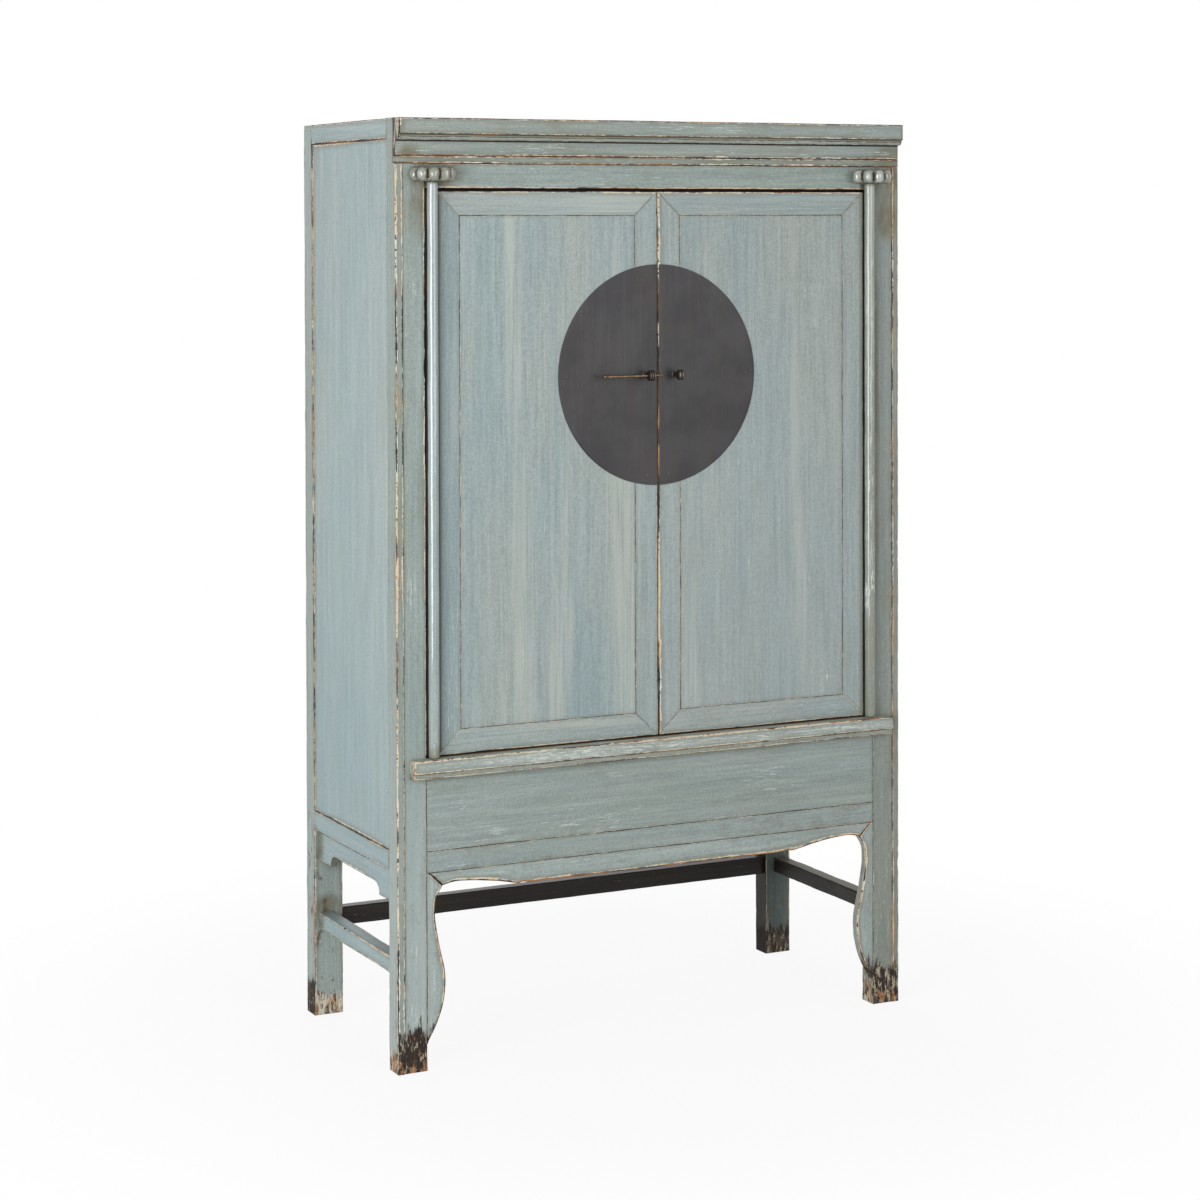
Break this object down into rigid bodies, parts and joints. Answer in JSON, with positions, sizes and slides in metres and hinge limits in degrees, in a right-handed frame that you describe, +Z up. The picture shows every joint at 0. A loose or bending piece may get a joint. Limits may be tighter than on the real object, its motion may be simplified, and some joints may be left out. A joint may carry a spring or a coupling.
{
  "type": "wedding cabinet",
  "caption": "Tall painted cupboard on legs whose mitred doors swing on pivot poles held by lobed blocks, with a round split lock plate, sliding pin and scalloped apron.",
  "frame": {"origin": "centre of the bounding box in plan, on the floor", "axes": "+X to the viewer's right facing the doors, -Y to the front, +Z up"},
  "size_m": [1.14, 0.554, 1.85],
  "materials": {
    "painted_wood": "worn satin paint",
    "stained_wood": "dark satin stain",
    "inner_wood": "dull stain",
    "dark_metal": "dark satin patina",
    "aged_brass": "aged"
  },
  "bodies": {
    "cabinet": {"back_left_post": "painted_wood", "back_lower_rail": "stained_wood", "back_panels": "stained_wood", "back_right_post": "painted_wood", "back_stile": "stained_wood", "back_stretcher": "stained_wood", "back_top_rail": "stained_wood", "bottom_board": "stained_wood", "cornice": "painted_wood", "door_stop": "inner_wood", "floor_board": "inner_wood", "frieze_board": "painted_wood", "front_apron": "painted_wood", "front_left_post": "painted_wood", "front_right_post": "painted_wood", "head_rail": "painted_wood", "left_leg_wing": "painted_wood", "left_lower_rail": "painted_wood", "left_pivot_block": "painted_wood", "left_side_apron": "painted_wood", "left_side_panel": "painted_wood", "left_stretcher": "painted_wood", "left_top_rail": "painted_wood", "lower_front_rail": "painted_wood", "right_leg_wing": "painted_wood", "right_lower_rail": "painted_wood", "right_pivot_block": "painted_wood", "right_side_apron": "painted_wood", "right_side_panel": "painted_wood", "right_stretcher": "painted_wood", "right_top_rail": "painted_wood", "shelf": "inner_wood", "side_cleats": "inner_wood", "skirt_panel": "painted_wood", "top_board": "painted_wood", "top_border": "painted_wood", "top_front_rail": "painted_wood", "waist_moulding": "painted_wood", "waist_rail": "inner_wood"},
    "left_door": {"left_door_hinge_stile": "painted_wood", "left_door_meeting_stile": "painted_wood", "left_door_top_rail": "painted_wood", "left_door_bottom_rail": "painted_wood", "left_door_panel": "painted_wood", "left_pivot_pole": "painted_wood", "left_door_battens": "inner_wood", "left_lock_plate": "dark_metal", "left_plate_nails": "dark_metal", "left_lock_lug": "dark_metal"},
    "right_door": {"right_door_hinge_stile": "painted_wood", "right_door_meeting_stile": "painted_wood", "right_door_top_rail": "painted_wood", "right_door_bottom_rail": "painted_wood", "right_door_panel": "painted_wood", "right_pivot_pole": "painted_wood", "right_door_battens": "inner_wood", "right_lock_plate": "dark_metal", "right_plate_nails": "dark_metal", "right_lock_lug": "dark_metal"},
    "lock_pin": {"lock_pin": "aged_brass"}
  },
  "joints": [
    {"name": "left_door_hinge", "type": "hinge", "parent": "cabinet", "child": "left_door", "pos_m": [-0.4954, -0.23, 1.1685], "axis": [0, 0, -1], "range_deg": [0, 170]},
    {"name": "right_door_hinge", "type": "hinge", "parent": "cabinet", "child": "right_door", "pos_m": [0.4954, -0.23, 1.1685], "axis": [0, 0, 1], "range_deg": [0, 170]},
    {"name": "lock_pin_slide", "type": "slide", "parent": "left_door", "child": "lock_pin", "axis": [1, 0, 0], "range_m": [-0.012, 0]}
  ]
}
